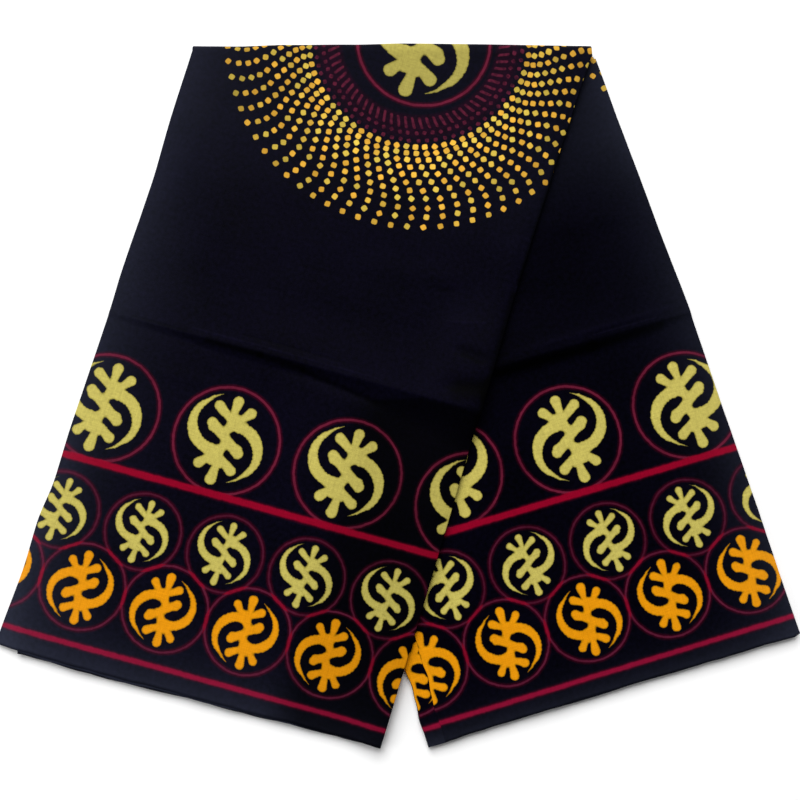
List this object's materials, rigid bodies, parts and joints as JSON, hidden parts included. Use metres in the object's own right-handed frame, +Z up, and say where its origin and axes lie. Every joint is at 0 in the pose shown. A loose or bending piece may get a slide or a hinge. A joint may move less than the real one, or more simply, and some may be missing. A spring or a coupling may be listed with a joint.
{
  "type": "folded printed cotton cloth",
  "caption": "Length of printed cotton cloth, folded to a narrow strip of many layers and laid flat with the strip turned back once on a slant.",
  "frame": {"origin": "on the table, under the middle of the box round the whole folded cloth", "axes": "+Z up; +Y towards the turned fold; +X towards the half that lies underneath"},
  "size_m": [0.7028, 0.6316, 0.0242],
  "materials": {
    "print_face": "plain-woven cotton with a wax-type print and a slight calendered sheen: near-black navy ground, olive-yellow and orange figures, crimson rings and stripes",
    "print_reverse": "the same cotton from its other face, with the same print mirrored",
    "layers": "edges of the folded layers: the near-black navy ground with plain, slightly frayed selvages"
  },
  "bodies": {
    "root": {"back_layers": "layers", "back_panel": "print_reverse", "front_layers": "layers", "front_panel": "print_face"}
  },
  "joints": []
}
